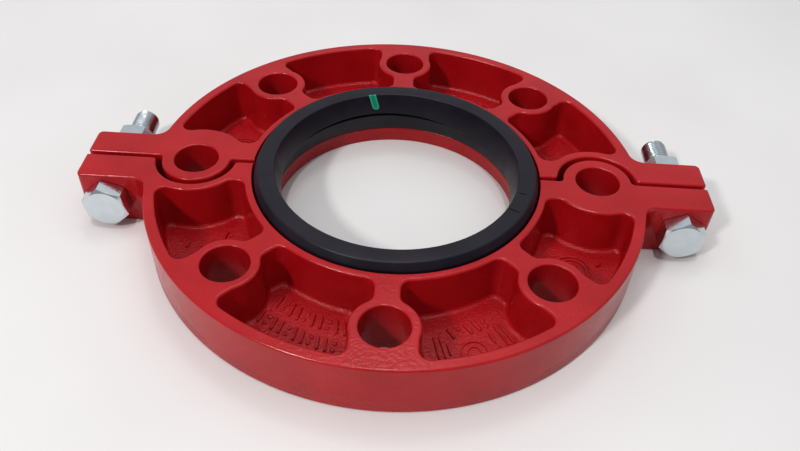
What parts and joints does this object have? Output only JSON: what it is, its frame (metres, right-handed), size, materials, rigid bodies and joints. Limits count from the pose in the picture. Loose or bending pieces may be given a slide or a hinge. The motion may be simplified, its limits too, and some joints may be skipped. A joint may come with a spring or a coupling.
{
  "type": "split flange adapter",
  "caption": "Two-piece bolted flange adapter that clamps on a grooved pipe end, with a rubber sealing ring and two draw bolts.",
  "frame": {"origin": "centre of the flange at its flat back face", "axes": "+Z along the pipe axis towards the gasket side, +X through the two split-line holes and both draw bolts, +Y from the bolt heads to the nuts"},
  "size_m": [0.278, 0.22, 0.029],
  "materials": {
    "enamelled_iron": "glossy red enamel over an as-cast surface",
    "gasket_rubber": "moulded black rubber, satin",
    "zinc_plated_steel": "bright zinc plating"
  },
  "bodies": {
    "front_half": {"front_half": "enamelled_iron"},
    "rear_half": {"rear_half": "enamelled_iron"},
    "gasket": {"gasket": "gasket_rubber"},
    "left_bolt": {"left_bolt": "zinc_plated_steel"},
    "right_bolt": {"right_bolt": "zinc_plated_steel"},
    "left_nut": {"left_nut": "zinc_plated_steel"},
    "right_nut": {"right_nut": "zinc_plated_steel"}
  },
  "joints": [
    {"name": "halves_open", "type": "slide", "parent": "front_half", "child": "rear_half", "axis": [0, 1, 0], "range_m": [0, 0.014]},
    {"name": "left_bolt_turn", "type": "hinge", "parent": "front_half", "child": "left_bolt", "pos_m": [-0.1265, -0.016, 0.0127], "axis": [0, -1, 0], "range_deg": [0, 2881]},
    {"name": "right_bolt_turn", "type": "hinge", "parent": "front_half", "child": "right_bolt", "pos_m": [0.1265, -0.016, 0.0127], "axis": [0, -1, 0], "range_deg": [0, 2881]},
    {"name": "left_nut_travel", "type": "slide", "parent": "front_half", "child": "left_nut", "axis": [0, 1, 0], "range_m": [0, 0.014]},
    {"name": "right_nut_travel", "type": "slide", "parent": "front_half", "child": "right_nut", "axis": [0, 1, 0], "range_m": [0, 0.014]},
    {"name": "gasket_lift", "type": "slide", "parent": "front_half", "child": "gasket", "axis": [0, 0, 1], "range_m": [0, 0.03]}
  ],
  "couplings": [
    {"joint": "left_bolt_turn", "follows": "halves_open", "rad_per_m": 3590.4},
    {"joint": "right_bolt_turn", "follows": "halves_open", "rad_per_m": 3590.4},
    {"joint": "left_nut_travel", "follows": "halves_open", "ratio": 1},
    {"joint": "right_nut_travel", "follows": "halves_open", "ratio": 1}
  ]
}
